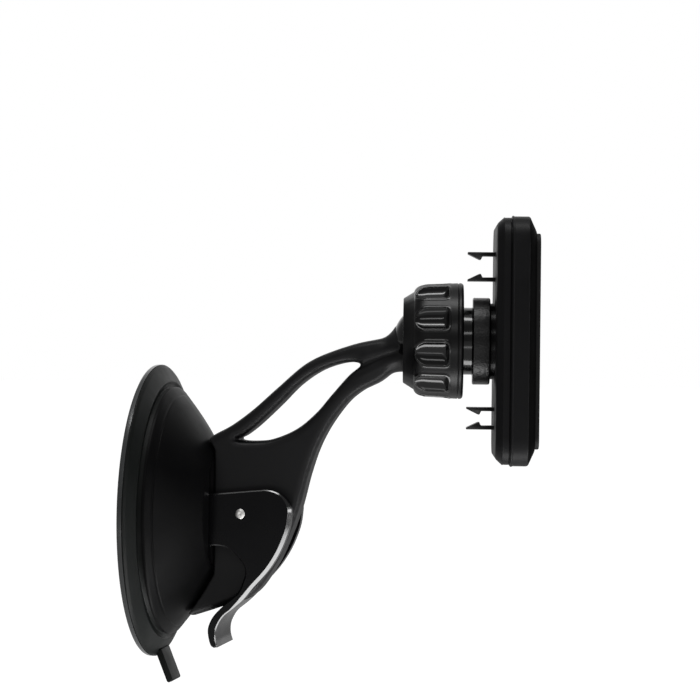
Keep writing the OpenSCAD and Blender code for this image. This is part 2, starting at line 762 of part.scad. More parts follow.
module magnet_places() {
    for (sy = [-1, 1]) for (row = [0:magnet_rows - 1])
        translate([0, sy * magnet_pitch_y / 2, (row - (magnet_rows - 1) / 2) * magnet_pitch_z])
            children();
}

module magnets() color([0.72, 0.73, 0.75]) {
    on_head() magnet_places() tube_x(magnet_x, front_inner, magnet_r);
}

module steel_yoke() color([0.62, 0.63, 0.65]) {
    on_head() slab(yoke_x, yoke_t, yoke_w, yoke_h, yoke_corner);
}

module front_face() color([0.07, 0.07, 0.07]) {
    inset = front_inset + face_inset;
    on_head() slab(front_end, face_t, head_w - 2 * inset, head_h - 2 * inset,
        head_corner - front_inset);
}

module cover_screws() color([0.72, 0.72, 0.73]) {
    on_head() post_places() translate([head_back + cover_head_t, 0, 0])
        screw(cover_screw_r - hair, cover_screw_l - cover_head_t, cover_head_r, cover_head_t - hair);
}

gel_layer();
suction_pad();
dome_cover();
arm();
arm_screws();
plunger();
pivot_pin();
return_spring();
lever();
ball_liner();
clamp_ring();
clamp_nut();
socket_boss();
boss_screws();
rear_cover();
front_cover();
steel_yoke();
magnets();
front_face();
cover_screws();
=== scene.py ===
import math

import bmesh
import bpy
import numpy as np
from mathutils import Matrix, Vector
from mathutils.bvhtree import BVHTree
from mathutils.geometry import delaunay_2d_cdt


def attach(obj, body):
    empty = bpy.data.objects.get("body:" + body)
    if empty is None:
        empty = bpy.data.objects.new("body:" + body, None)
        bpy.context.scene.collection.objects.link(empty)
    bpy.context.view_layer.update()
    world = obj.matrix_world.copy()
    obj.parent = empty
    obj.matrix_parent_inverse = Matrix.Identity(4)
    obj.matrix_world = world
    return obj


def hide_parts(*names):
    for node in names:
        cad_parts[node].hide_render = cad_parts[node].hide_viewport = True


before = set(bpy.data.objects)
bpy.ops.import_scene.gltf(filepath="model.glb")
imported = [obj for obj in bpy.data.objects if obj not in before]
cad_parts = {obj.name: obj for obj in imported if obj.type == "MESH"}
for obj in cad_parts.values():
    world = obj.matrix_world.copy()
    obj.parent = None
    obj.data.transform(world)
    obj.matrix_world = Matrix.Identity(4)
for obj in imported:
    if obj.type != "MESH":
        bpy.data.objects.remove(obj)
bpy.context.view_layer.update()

# Sizes are in millimetres and angles in degrees, as in the solids
MM = 0.001
# Faces that would lie in one plane are set this far apart
SKIN_GAP = 0.01
FINE_GAP = 0.02

# Suction pad and gel layer
PAD_R = 34.0
PAD_H = 4.3
RIM_INSET = 0.12
GEL_T = 1.2
GEL_ROUND = 0.5
GEL_HIGHLIGHT_W = 0.4
SEAL_IN_R = 29.4
HOLLOW_D = 0.6
HOLLOW_STEPS = 20
POCKET_R = 9.7
POCKET_OUT_R = 12.1
POCKET_TOP = 7.0
POCKET_FLOOR = 2.6
POCKET_LIP_W = 1.2
POCKET_LIP_T = 0.8
TAB_ROOT = (1.35, -32.6)
TAB_W = 8.0
TAB_L = 8.0
TAB_T = 1.5
TAB_LEAN = 22.0
TAB_CORNER = 0.5
TAB_ROUND = 0.35

# Dome
DOME_R = 28.8
DOME_TOP = 15.0
DOME_FLAT_R = 14.2
DOME_SIDES = 240
CROWN_ROUND = 1.6
LIP_ROUND = 0.8
LIP_H = 0.2
LIP_ARC = 40.0
BULGE_SHARE = 0.06
SLOPE_STEPS = 40
CREASE_X = 6.3
CREASE_D = 0.16
CREASE_W = 0.16
RECESS_R = 12.8
RECESS_FLOOR = 11.8
RECESS_HALF_W = 8.5
RECESS_EDGE = 0.45
RECESS_CORNER = 0.3
FLOOR_UNDER = 9.9
STEM_HOLE_R = 3.18
STEM_HOLE_EDGE = 0.3

# Arm
ARM_ROOT_X = 13.6
ARM_HALF = 4.8
ARM_TAPER_SHARE = 0.7
ARM_ROUND = 1.8
ARM_CELL = 0.42
ARM_VOXEL = 0.22
ARM_SMOOTHS = 6
ARM_GROWTH = 0.15
HUG_X = 0.3
HUG_R = 0.2
HUG_END = 0.3
FOOT_BACK = RECESS_FLOOR + FINE_GAP
FOOT_FRONT = 17.0
FOOT_HALF_H = 12.3
FOOT_HALF_W = 4.1
NECK_R = 4.05
NECK_RISE = 20.0
NECK_ROUNDS = 90
NECK_FROM, NECK_FROM_FADE = 7.6, 1.2
NECK_TO, NECK_TO_FADE = 17.0, 4.0
SETTLE_FROM, SETTLE_FADE = 14.5, 3.5
LAST_ROUNDS = 3
GROOVE_D, GROOVE_W = 0.62, 0.75
RIDGE_H, RIDGE_AT, RIDGE_W = 0.16, 1.9, 0.7
GROOVE_FROM_X, GROOVE_FADE = 48.0, 2.0
GROOVE_ROOM = 1.5
BALL = (64.7, 0.0, 40.2)
BALL_R = 8.5

# Lever and pin
PIN_X = 22.2
PIN_R = 1.2
PIN_PROUD = 0.25
PIN_SIDES = 64
LEVER_W = 16.0
LEVER_L = 31.0
LEVER_BACK_SHARE = -0.242
LEVER_CELL = 0.22
CHEEK_T = 2.8
CAM_LOCK = 8.1
CAM_FREE = 4.3
CHAMFER_MIN, CHAMFER_MORE, CHAMFER_FADE = 0.24, 0.5, 4.0
CHAMFER_FROM_Y = 7.0
SLOT_GAP = 0.5
SLOT_REACH = 40.0
SLOT_DEPTH = 70.0

# Clamp nut
FLUTE_N = 10
FLUTE_PHASE = 31.4
FLUTE_BACK, FLUTE_FRONT = -0.9, 2.6
FLUTE_HALF_W = 2.62
FLUTE_ON_R = 12.6
FLUTE_STRETCH = 1.55
FLUTE_POWER = 4
FLUTE_MARGIN = 0.55
SCOOP_R = 2.95
SCOOP_D = 1.5
FLUTE_RIM_H, FLUTE_RIM_W = 0.1, 0.3
NUT_SIDES = 720
NUT_BORE_R = 11.05
NUT_INNER_R = 10.2

# Socket boss
BOSS_BACK = 0.9
SOCKET_R = 9.45
THREAD_R = 10.35
THREAD_CREST_R = 10.85
THREAD_PITCH = 2.0
THREAD_TURNS = 3
BOSS_NECK_R = 7.7
FLANGE_R = 9.95
FLANGE_BACK, FLANGE_FRONT = 9.65, 13.65
BOSS_FOOT_R = 8.7

# Head
HEAD_YAW = 8.6
HEAD_W = 40.0
HEAD_H = 56.0
HEAD_CORNER = 6.5
HEAD_BACK = 14.7
SEAM_X = 17.8
SEAM_D = 0.9
SEAM_REACH = 0.6
FRONT_X = 18.0
FRONT_SLOPE_X = 22.0
FRONT_END = 23.6
FACE_END = 24.5
FACE_MARGIN = 3.8
FACE_CORNER = 3.0
HOOKS = ((19.925, -1), (14.175, 1), (-15.55, -1), (-19.75, 1))
HOOK_HALF_W = 2.5
HOOK_ROUND = 0.14

ON_HEAD = Matrix.Translation(Vector(BALL)) @ Matrix.Rotation(math.radians(HEAD_YAW), 4, "Z")
AT_ROOT = Matrix.Identity(4)


# Curves
def spline(points, steps, closed):
    out = []
    n = len(points)
    last = n if closed else n - 1
    pick = (lambda i: points[i % n]) if closed else (lambda i: points[max(0, min(n - 1, i))])
    for i in range(last):
        a, b, c, d = (np.array(pick(i + k), float) for k in (-1, 0, 1, 2))
        for k in range(steps):
            t = k / steps
            out.append((2 * b + (c - a) * t + (2 * a - 5 * b + 4 * c - d) * t * t
                        + (3 * b - a - 3 * c + d) * t ** 3) / 2)
    if not closed:
        out.append(np.array(points[-1], float))
    return [tuple(p) for p in out]


def arc(ca, cb, r, start, end, steps):
    return [(ca + r * math.cos(math.radians(start + (end - start) * i / steps)),
             cb + r * math.sin(math.radians(start + (end - start) * i / steps)))
            for i in range(steps + 1)]


def filleted(points, steps=5, closed=False):
    """Each point is (a, b) or (a, b, radius): a radius rounds that corner."""
    out = []
    n = len(points)
    for i, p in enumerate(points):
        r = p[2] if len(p) > 2 else 0
        if not r or (not closed and i in (0, n - 1)):
            out.append((p[0], p[1]))
            continue
        here = np.array(p[:2], float)
        before = np.array(points[i - 1][:2], float) - here
        after = np.array(points[(i + 1) % n][:2], float) - here
        before, lb = before / np.linalg.norm(before), np.linalg.norm(before)
        after, la = after / np.linalg.norm(after), np.linalg.norm(after)
        half = math.acos(max(-1, min(1, float(before @ after)))) / 2
        reach = min(r / math.tan(half), 0.49 * lb, 0.49 * la)
        r = reach * math.tan(half)
        mid = (before + after) / np.linalg.norm(before + after)
        centre = here + mid * r / math.sin(half)
        u = here + before * reach - centre
        v = here + after * reach - centre
        a0, a1 = math.atan2(u[1], u[0]), math.atan2(v[1], v[0])
        turn = (a1 - a0 + math.pi) % (2 * math.pi) - math.pi
        for k in range(steps + 1):
            a = a0 + turn * k / steps
            out.append((centre[0] + r * math.cos(a), centre[1] + r * math.sin(a)))
    return out


def evenly(points, step, closed):
    """The same line with points a step apart."""
    p = np.array(points + ([points[0]] if closed else []), float)
    run = np.concatenate([[0], np.cumsum(np.linalg.norm(np.diff(p, axis=0), axis=1))])
    n = max(2, int(round(run[-1] / step)))
    at = np.linspace(0, run[-1], n + 1)
    out = np.stack([np.interp(at, run, p[:, 0]), np.interp(at, run, p[:, 1])], 1)
    return out[:-1] if closed else out


def counter_clockwise(loop):
    turned = np.roll(loop, -1, 0)
    area = float(np.sum(loop[:, 0] * turned[:, 1] - loop[:, 1] * turned[:, 0]))
    return loop if area > 0 else loop[::-1]


def distance(points, line, closed):
    """Distance from each point to a line of short pieces."""
    a = np.array(line, float)
    b = np.roll(a, -1, 0) if closed else a[1:]
    a = a if closed else a[:-1]
    best = np.full(len(points), np.inf)
    for p, q in zip(a, b):
        d = q - p
        t = np.clip(((points - p) @ d) / max(d @ d, 1e-12), 0, 1)
        best = np.minimum(best, np.linalg.norm(points - p - t[:, None] * d, axis=1))
    return best


# Meshes
def placed(mesh, name="raw"):
    """A new object in the scene that shows the mesh."""
    obj = bpy.data.objects.new(name, mesh)
    bpy.context.collection.objects.link(obj)
    return obj


def mesh_from(name, verts, faces, place):
    mesh = bpy.data.meshes.new(name)
    mesh.from_pydata([tuple((place @ Vector(v)) * MM) for v in verts], [], faces)
    return mesh


def face_out(mesh):
    """Turns the faces so that their normals point outwards."""
    bm = bmesh.new()
    bm.from_mesh(mesh)
    bmesh.ops.recalc_face_normals(bm, faces=bm.faces)
    bm.to_mesh(mesh)
    bm.free()


def show(name, mesh, mats, body, nodes, sharp=35, pick=None):
    mesh.name = name
    mesh.shade_smooth()
    mesh.set_sharp_from_angle(angle=math.radians(sharp))
    mesh.materials.clear()
    for m in mats:
        mesh.materials.append(m)
    if pick:
        for poly in mesh.polygons:
            poly.material_index = pick(poly.index, poly)
    obj = placed(mesh, name)
    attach(obj, body)
    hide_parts(*nodes)


def put(name, verts, faces, mats, body, nodes, slot, place=AT_ROOT, sharp=35, pick=None):
    mesh = mesh_from(name, verts, faces, place)
    mesh.validate()
    face_out(mesh)
    show(name, mesh, mats, body, nodes, sharp, pick)


def raw(verts, faces, place=AT_ROOT):
    """A working object that isn't shown as it is."""
    mesh = mesh_from("raw", verts, faces, place)
    face_out(mesh)
    return placed(mesh)


def baked(obj):
    """The object's mesh with its modifiers applied; the object itself is removed."""
    deps = bpy.context.evaluated_depsgraph_get()
    deps.update()
    mesh = bpy.data.meshes.new_from_object(obj.evaluated_get(deps))
    bpy.data.objects.remove(obj)
    return mesh


def cut(obj, cutter):
    """The mesh of the object less the cutter; both objects are removed."""
    mod = obj.modifiers.new("cut", "BOOLEAN")
    mod.operation = "DIFFERENCE"
    mod.solver = "EXACT"
    mod.object = cutter
    mesh = baked(obj)
    bpy.data.objects.remove(cutter)
    return mesh


def merged(objs):
    """One mesh of all the objects, which are removed."""
    bm = bmesh.new()
    for o in objs:
        bm.from_mesh(o.data)
        bpy.data.objects.remove(o)
    mesh = bpy.data.meshes.new("raw")
    bm.to_mesh(mesh)
    bm.free()
    return mesh


def remeshed(obj, voxel, smooths):
    mod = obj.modifiers.new("remesh", "REMESH")
    mod.mode = "VOXEL"
    mod.voxel_size = voxel * MM
    mod.adaptivity = 0.0
    smooth = obj.modifiers.new("smooth", "SMOOTH")
    smooth.factor = 0.5
    smooth.iterations = smooths
    return baked(obj)


def bevelled(obj, width, segments):
    mod = obj.modifiers.new("bevel", "BEVEL")
    mod.width = width * MM
    mod.segments = segments
    mod.limit_method = "ANGLE"
    mod.angle_limit = math.radians(38)
    mod.harden_normals = False
    return baked(obj)


def points_of(mesh, kind="co"):
    out = np.empty(len(mesh.vertices) * 3)
    mesh.vertices.foreach_get(kind, out)
    return out.reshape(-1, 3)


def move_points(mesh, points):
    mesh.vertices.foreach_set("co", points.reshape(-1))


def relaxed(mesh, share, rounds):
    """Smooths a mesh by a share that depends on where each point is, in millimetres."""
    n = len(mesh.vertices)
    p = points_of(mesh)
    ends = np.empty(len(mesh.edges) * 2, int)
    mesh.edges.foreach_get("vertices", ends)
    one, two = ends.reshape(-1, 2).T
    degree = np.bincount(np.concatenate([one, two]), minlength=n)[:, None]
    w = 0.5 * share(p / MM)[:, None]
    for _ in range(rounds):
        total = np.stack([np.bincount(one, p[two, k], n) + np.bincount(two, p[one, k], n)
                          for k in range(3)], 1)
        p += w * (total / degree - p)
    move_points(mesh, p)


def lathe(profile, n=160, closed=True, axis="X"):
    """Spins (x, r) points round the X axis, or round Y for a pin."""
    verts, rows = [], []
    for x, r in profile:
        if r < 1e-6:
            rows.append([len(verts)] * n)
            verts.append((x, 0, 0))
        else:
            rows.append(list(range(len(verts), len(verts) + n)))
            for k in range(n):
                a = 2 * math.pi * k / n
                verts.append((x, r * math.sin(a), r * math.cos(a)))
    if axis == "Y":
        verts = [(-v[1], v[0], v[2]) for v in verts]
    faces = []
    m = len(rows)
    for i in range(m if closed else m - 1):
        a, b = rows[i], rows[(i + 1) % m]
        for k in range(n):
            q = [a[k], a[(k + 1) % n], b[(k + 1) % n], b[k]]
            q = [v for j, v in enumerate(q) if v not in q[:j]]
            if len(q) > 2:
                faces.append(q)
    return verts, faces


def lofted(rows):
    """A skin over loops of as many points each, with both ends capped."""
    n = len(rows[0])
    verts = [p for row in rows for p in row]
    faces = [[i * n + k, i * n + (k + 1) % n, (i + 1) * n + (k + 1) % n, (i + 1) * n + k]
             for i in range(len(rows) - 1) for k in range(n)]
    return verts, faces + [list(range(n))[::-1], list(range(len(verts) - n, len(verts)))]


def box_loop(w, h, corner, steps=10):
    """Rounded rectangle in Y and Z, counted from the corner at +Y +Z."""
    out = []
    for cy, cz, start in ((1, 1, 0), (-1, 1, 90), (-1, -1, 180), (1, -1, 270)):
        for k in range(steps + 1):
            a = math.radians(start + 90 * k / steps)
            out.append((cy * (w / 2 - corner) + corner * math.cos(a),
                        cz * (h / 2 - corner) + corner * math.sin(a)))
    return out


def slab(profile, w, h, corner):
    """Lofts a rounded rectangle through (x, inset) points."""
    return lofted([[(x, y, z) for y, z in box_loop(w - 2 * inset, h - 2 * inset, max(corner - inset, 0.4))]
                   for x, inset in profile])


def prism(points, y0, y1):
    """Extrudes an (x, z) outline across Y."""
    n = len(points)
    verts = [(x, y0, z) for x, z in points] + [(x, y1, z) for x, z in points]
    faces = [[i, (i + 1) % n, n + (i + 1) % n, n + i] for i in range(n)]
    return verts, faces + [list(range(n))[::-1], list(range(n, 2 * n))]


def tube(path, radii, n=40):
    """A closed tube through (x, z) points, with a radius each."""
    rows, m = [], len(path)
    for i, ((x, z), r) in enumerate(zip(path, radii)):
        a, b = path[max(0, i - 1)], path[min(m - 1, i + 1)]
        d = np.array([b[0] - a[0], b[1] - a[1]], float)
        d /= np.linalg.norm(d)
        turns = [2 * math.pi * k / n for k in range(n)]
        rows.append([(x - d[1] * r * math.cos(t), r * math.sin(t), z + d[0] * r * math.cos(t))
                     for t in turns])
    return lofted(rows)


def doubled(p, h, tris):
    """A solid whose two sides stand at a height each way from the XZ plane over the same triangles."""
    n = len(p)
    solid = [(x, -y, z) for (x, z), y in zip(p, h)] + [(x, y, z) for (x, z), y in zip(p, h)]
    out = [list(t) for t in tris] + [[v + n for v in t][::-1] for t in tris]
    count = {}
    for t in tris:
        for a, b in zip(t, list(t[1:]) + [t[0]]):
            count.setdefault((min(a, b), max(a, b)), []).append((a, b))
    for ways in count.values():
        if len(ways) == 1:
            a, b = ways[0]
            out.append([b, a, a + n, b + n])
    return solid, out


def plate_solid(free, rest, hole, half, round_by, cell):
    """A plate across Y whose free edges and hole are rounded; the rest of its outline stays square."""
    step = cell * 0.8
    free_pts = evenly(free, step, False)
    rest_pts = evenly([tuple(free_pts[-1])] + rest + [tuple(free_pts[0])], step, False)[1:-1]
    rim = counter_clockwise(np.concatenate([free_pts, rest_pts]))
    hole_pts = counter_clockwise(evenly(hole, step, True))
    low, high = rim.min(0), rim.max(0)
    xs = np.arange(low[0], high[0], cell)
    zs = np.arange(low[1], high[1], cell * 0.866)
    grid = np.array([(x + (j % 2) * cell / 2, z) for j, z in enumerate(zs) for x in xs])
    near = np.minimum(distance(grid, rim, True), distance(grid, hole_pts, True))
    grid = grid[near > cell * 0.45]
    n_rim, n_hole = len(rim), len(hole_pts)
    verts = [Vector(p) for p in np.concatenate([rim, hole_pts, grid])]
    edges = [(i, (i + 1) % n_rim) for i in range(n_rim)]
    edges += [(n_rim + i, n_rim + (i + 1) % n_hole) for i in range(n_hole)]
    faces = [list(range(n_rim)), list(range(n_rim, n_rim + n_hole))]
    made, _, tris, _, _, from_faces = delaunay_2d_cdt(verts, edges, faces, 1, 1e-5)
    tris = [t for t, own in zip(tris, from_faces) if 0 in own and 1 not in own]
    p = np.array([(v.x, v.y) for v in made])
    edge_d = np.minimum(distance(p, free_pts, False), distance(p, hole_pts, True))
    u = np.clip(edge_d / round_by, 0, 1)
    drop = round_by * (1 - np.sqrt(np.clip(1 - (1 - u) ** 2, 0, 1)))
    return doubled(p, np.array([half(x) for x in p[:, 0]]) - drop, tris)


# Materials
def finish(name, colour, rough, spread=0.06, grain=0.15, grain_size=0.35, coat=0.0, metal=0.0, spec=0.5,
           kind="noise"):
    """A moulded or metal finish: colour drift, roughness drift and a fine grain in the bump."""
    mottle = 0.12
    mat = bpy.data.materials.new(name)
    mat.use_nodes = True
    nodes, links = mat.node_tree.nodes, mat.node_tree.links
    bsdf = nodes["Principled BSDF"]
    coords = nodes.new("ShaderNodeTexCoord")
    drift = nodes.new("ShaderNodeTexNoise")
    drift.inputs["Scale"].default_value = 140.0
    drift.inputs["Detail"].default_value = 4.0
    links.new(coords.outputs["Object"], drift.inputs["Vector"])
    shade = nodes.new("ShaderNodeMix")
    shade.data_type = "RGBA"
    shade.inputs[6].default_value = (*[c * (1 - mottle) for c in colour], 1)
    shade.inputs[7].default_value = (*[min(1.0, c * (1 + mottle)) for c in colour], 1)
    links.new(drift.outputs["Fac"], shade.inputs[0])
    links.new(shade.outputs[2], bsdf.inputs["Base Color"])
    fine = nodes.new("ShaderNodeTexVoronoi" if kind == "cells" else "ShaderNodeTexNoise")
    fine.inputs["Scale"].default_value = 1.0 / (grain_size * MM)
    if kind != "cells":
        fine.inputs["Detail"].default_value = 3.0
    links.new(coords.outputs["Object"], fine.inputs["Vector"])
    span = nodes.new("ShaderNodeMapRange")
    span.inputs["From Min"].default_value = 0.3
    span.inputs["From Max"].default_value = 0.7
    span.inputs["To Min"].default_value = max(0.02, rough - spread)
    span.inputs["To Max"].default_value = min(1.0, rough + spread)
    links.new(drift.outputs["Fac"], span.inputs["Value"])
    links.new(span.outputs["Result"], bsdf.inputs["Roughness"])
    if grain:
        bump = nodes.new("ShaderNodeBump")
        bump.inputs["Strength"].default_value = grain
        bump.inputs["Distance"].default_value = 0.05 * MM
        links.new(fine.outputs["Distance" if kind == "cells" else "Fac"], bump.inputs["Height"])
        links.new(bump.outputs["Normal"], bsdf.inputs["Normal"])
    bsdf.inputs["Metallic"].default_value = metal
    bsdf.inputs["Specular IOR Level"].default_value = spec
    bsdf.inputs["Coat Weight"].default_value = coat
    bsdf.inputs["Coat Roughness"].default_value = 0.12
    return mat


SATIN = finish("satin_black_plastic", (0.0066, 0.0066, 0.0072), 0.46, grain=0.12, spec=0.20)
DOME = finish("dome_satin_plastic", (0.0022, 0.0022, 0.0024), 0.42, grain=0.12, spec=0.06)
LEVER = finish("lever_satin_plastic", (0.0024, 0.0024, 0.0029), 0.25, spread=0.03, grain=0.05, spec=0.12)
EDGE = finish("lever_polished_edge", (0.0030, 0.0030, 0.0034), 0.16, spread=0.02, grain=0.0, spec=1.0)
RUBBER = finish("pad_rubber", (0.0046, 0.0056, 0.0052), 0.46, spread=0.08, grain=0.18, grain_size=0.5,
                spec=0.13)
GEL = finish("gel", (0.0075, 0.0078, 0.0080), 0.25, spread=0.05, grain=0.05, grain_size=2.0, spec=0.3,
             coat=0.15)
# Painted highlight: a much lighter colour on the gel's outer rim
GEL_RIM_HIGHLIGHT = finish("gel_rim_painted_highlight", (0.040, 0.042, 0.043), 0.25, spread=0.05, grain=0.05, grain_size=2.0,
                  coat=0.3)
NUT = finish("nut_satin_plastic", (0.0022, 0.0022, 0.0025), 0.34, grain=0.08, spec=0.26)
GLOSS = finish("glossy_plastic", (0.0018, 0.0018, 0.0020), 0.13, spread=0.02, grain=0.0, spec=0.45,
               coat=0.08)
STIPPLE = finish("stippled_plastic", (0.0035, 0.0035, 0.0036), 0.34, grain=0.9, grain_size=0.45,
                 kind="cells", spec=0.3)
SHELL = finish("head_matte_plastic", (0.0038, 0.0038, 0.0043), 0.46, grain=0.25, grain_size=0.3, spec=0.15)
FACE = finish("face_rubber", (0.0030, 0.0030, 0.0030), 0.62, grain=0.35, grain_size=0.6, spec=0.25)
# Painted shade: the front slope is coloured near black, a painted dark reflection, far darker than the
# shell's plastic
SLOPE_PAINTED_SHADE = finish("front_slope_painted_shade", (0.0006, 0.0006, 0.0006), 0.7, grain=0.2, grain_size=0.3, spec=0.03)
RIVET = finish("rivet_steel", (0.80, 0.79, 0.77), 0.42, spread=0.05, grain=0.1, grain_size=0.2, metal=1.0)
HOOK = finish("hook_plastic", (0.0050, 0.0050, 0.0050), 0.30, grain=0.08)
STEEL = finish("bright_steel", (0.62, 0.60, 0.57), 0.24, spread=0.07, grain=0.12, grain_size=0.2,
               metal=1.0)
ZINC = finish("zinc_steel", (0.5, 0.5, 0.51), 0.32, spread=0.08, grain=0.15, grain_size=0.25, metal=1.0)
NICKEL = finish("nickel", (0.66, 0.65, 0.62), 0.2, grain=0.05, metal=1.0)
GREY = finish("inner_plastic", (0.04, 0.04, 0.042), 0.5, grain=0.2)


# Gel layer, its outer rim painted lighter: a painted highlight along the edge
def hollow(x):
    """The shallow bowl inside the sealing ring, from the axis outwards, with its edge at x."""
    return [(x + HOLLOW_D * (1 - (t / HOLLOW_STEPS) ** 2), SEAL_IN_R * t / HOLLOW_STEPS)
            for t in range(HOLLOW_STEPS + 1)]


# The faces near the gel's outer edge take the painted highlight
def gel_highlight_pick(i, poly):
    return 1 if math.hypot(poly.center.y, poly.center.z) > (PAD_R - GEL_HIGHLIGHT_W) * MM else 0


gel = hollow(0.0) + arc(GEL_ROUND, PAD_R - GEL_ROUND, GEL_ROUND, 180, 90, 5) + [(GEL_T, PAD_R)]
gel += hollow(GEL_T)[::-1]
put("pad_gel_face", *lathe(gel, closed=False), [GEL, GEL_RIM_HIGHLIGHT], "base", ["gel_layer"], "gel", pick=gel_highlight_pick)

# Suction pad: a thin rim, a groove under the dome's lip, the seat, the plunger's pocket and the tab
pad_back = GEL_T + SKIN_GAP
pad_rim_r = PAD_R - RIM_INSET
edge = filleted([(pad_back, PAD_R - 0.6), (pad_back, pad_rim_r, 0.12), (GEL_T + 0.22, pad_rim_r, 0.3),
                 (GEL_T + 0.75, PAD_R - 0.75, 0.6), (3.62, 30.1, 0.5), (3.3, 29.5, 0.25),
                 (3.2, 28.5, 0.2), (PAD_H - 0.05, 28.3, 0.1), (PAD_H, 28.0)], 4)
lip_in_r = POCKET_R - POCKET_LIP_W
lip_top = POCKET_TOP + POCKET_LIP_T
seat = filleted([(PAD_H, 25.4), (PAD_H, 24.6, 0.4), (3.4, 23.0, 0.8), (3.4, POCKET_OUT_R, 0.6),
                 (lip_top, POCKET_OUT_R, 0.3), (lip_top, lip_in_r, 0.3), (POCKET_TOP, lip_in_r, 0.2),
                 (POCKET_TOP, POCKET_R), (POCKET_FLOOR, POCKET_R, 0.4), (POCKET_FLOOR, 0)])
pad = raw(*lathe(hollow(pad_back) + edge + seat, closed=False))
lean = math.radians(TAB_LEAN)


def on_tab(along, deep):
    return (TAB_ROOT[0] + along * math.sin(lean) + deep * math.cos(lean),
            TAB_ROOT[1] - along * math.cos(lean) + deep * math.sin(lean))


tab_side = filleted([on_tab(0, 0), on_tab(0, TAB_T), (*on_tab(TAB_L, TAB_T), TAB_CORNER),
                     (*on_tab(TAB_L, 0), TAB_CORNER)], closed=True)
tab = placed(bevelled(raw(*prism(tab_side, -TAB_W / 2, TAB_W / 2)), TAB_ROUND, 3))
show("pad_rubber_body", merged([pad, tab]), [RUBBER], "base", ["suction_pad"], sharp=40)

# Dome: a bulged slope from the lip to the crown, hollow inside, with the recess under the lever
slope_x = PAD_H + LIP_H + LIP_ROUND * math.sin(math.radians(LIP_ARC))
slope_r = DOME_R - LIP_ROUND * (1 - math.cos(math.radians(LIP_ARC)))
outer = arc(PAD_H + LIP_H, DOME_R - LIP_ROUND, LIP_ROUND, 90, 90 - LIP_ARC, 5)
slope = []
for i in range(1, SLOPE_STEPS):
    t = i / SLOPE_STEPS
    slope.append((slope_x - (slope_x - DOME_TOP) * (t + BULGE_SHARE * math.sin(math.pi * t)),
                  slope_r - (slope_r - DOME_FLAT_R) * t))
# A fine crease runs round the slope just above the lip, on its first points
creased = 7
outer += [(x, r - CREASE_D * math.exp(-((x - CREASE_X) / CREASE_W) ** 2))
          for x, r in spline(slope[:creased], 6, False)]
outer += slope[creased:-1]
outer += filleted([slope[-2], (DOME_TOP, DOME_FLAT_R, CROWN_ROUND), (DOME_TOP, DOME_FLAT_R - 3)], 6)[1:-1]
seat_x = PAD_H + FINE_GAP
under = filleted([(DOME_TOP, STEM_HOLE_R + STEM_HOLE_EDGE), (DOME_TOP - STEM_HOLE_EDGE, STEM_HOLE_R),
                  (FLOOR_UNDER, STEM_HOLE_R), (FLOOR_UNDER, RECESS_R + 2), (11.4, 16.3), (slope_x, 26.0),
                  (seat_x, 26.2), (seat_x, DOME_R, 0.12)])


def recess_loop(grow):
    """The recess seen along X: two straight sides and two round ends."""
    half, r = RECESS_HALF_W + grow, RECESS_R + grow
    turn = math.degrees(math.asin(half / r))
    top = arc(0, 0, r, 90 - turn, 90 + turn, 16)
    return top + [(-y, -z) for y, z in top]


recess_rows = [(RECESS_FLOOR, -RECESS_CORNER), (RECESS_FLOOR + RECESS_CORNER, 0.0), (DOME_TOP - 0.4, 0.0),
               (DOME_TOP + 0.05, RECESS_EDGE), (DOME_TOP + 1, RECESS_EDGE)]
recess = raw(*lofted([[(x, y, z) for y, z in recess_loop(grow)] for x, grow in recess_rows]))
dome_mesh = cut(raw(*lathe(outer + under, n=DOME_SIDES)), recess)
show("dome_shell", dome_mesh, [DOME], "base", ["dome_cover"], sharp=30)

# Arm: the plate with its window, the round neck, a groove where the strands meet, the ball
reach = BALL[0] - ARM_ROOT_X
rise = math.radians(NECK_RISE)


def on_arm(shares):
    return [(ARM_ROOT_X + a * reach, b * BALL[2]) for a, b in shares]


def arm_half(x):
    return ARM_HALF * (1 - (1 - ARM_TAPER_SHARE) * (x - ARM_ROOT_X) / reach)


def on_neck(back_by):
    return BALL[0] - back_by * math.cos(rise), BALL[2] - back_by * math.sin(rise)


def behind_ball(p):
    """How far each point lies behind the ball's centre along the neck."""
    return (BALL[0] - p[:, 0]) * math.cos(rise) + (BALL[2] - p[:, 2]) * math.sin(rise)


def neck_share(p):
    back_by = behind_ball(p)
    return (np.clip((back_by - NECK_FROM) / NECK_FROM_FADE, 0, 1)
            * np.clip((NECK_TO - back_by) / NECK_TO_FADE, 0, 1))


arm_free = on_arm([(0.010, 0.435), (0.036, 0.455), (0.110, 0.507), (0.205, 0.598), (0.311, 0.719),
                   (0.444, 0.863), (0.581, 0.943), (0.714, 0.990), (0.815, 0.998), (0.855, 0.885),
                   (0.800, 0.786), (0.700, 0.715), (0.630, 0.642), (0.554, 0.512), (0.499, 0.378),
                   (0.458, 0.224), (0.417, 0.025), (0.358, -0.174), (0.303, -0.316),
                   (0.211, -0.470), (0.074, -0.542), (-0.060, -0.600)])
window = on_arm([(0.129, 0.421), (0.163, 0.447), (0.223, 0.507), (0.319, 0.622), (0.411, 0.739),
                 (0.505, 0.821), (0.595, 0.863), (0.663, 0.873), (0.690, 0.855), (0.636, 0.794),
                 (0.560, 0.684), (0.491, 0.580), (0.401, 0.485), (0.290, 0.425), (0.188, 0.411)])
# The side that lies on the dome follows its slope below, its crown and its slope above
toe_r = -arm_free[-1][1]
root_r = arm_free[0][1]
hug = [(x + HUG_X, r + HUG_R) for x, r in slope if r > DOME_FLAT_R + HUG_END]
inner_side = [(x, -r) for x, r in hug if r < toe_r - HUG_END]
inner_side += [(DOME_TOP + 0.4, k * 3.5) for k in range(-4, 5)]
inner_side += [(x, r) for x, r in hug[::-1] if r < root_r - HUG_END]
plate_verts, plate_faces = plate_solid(spline(arm_free, 8, False), inner_side, spline(window, 8, True),
                                       arm_half, ARM_ROUND, ARM_CELL)
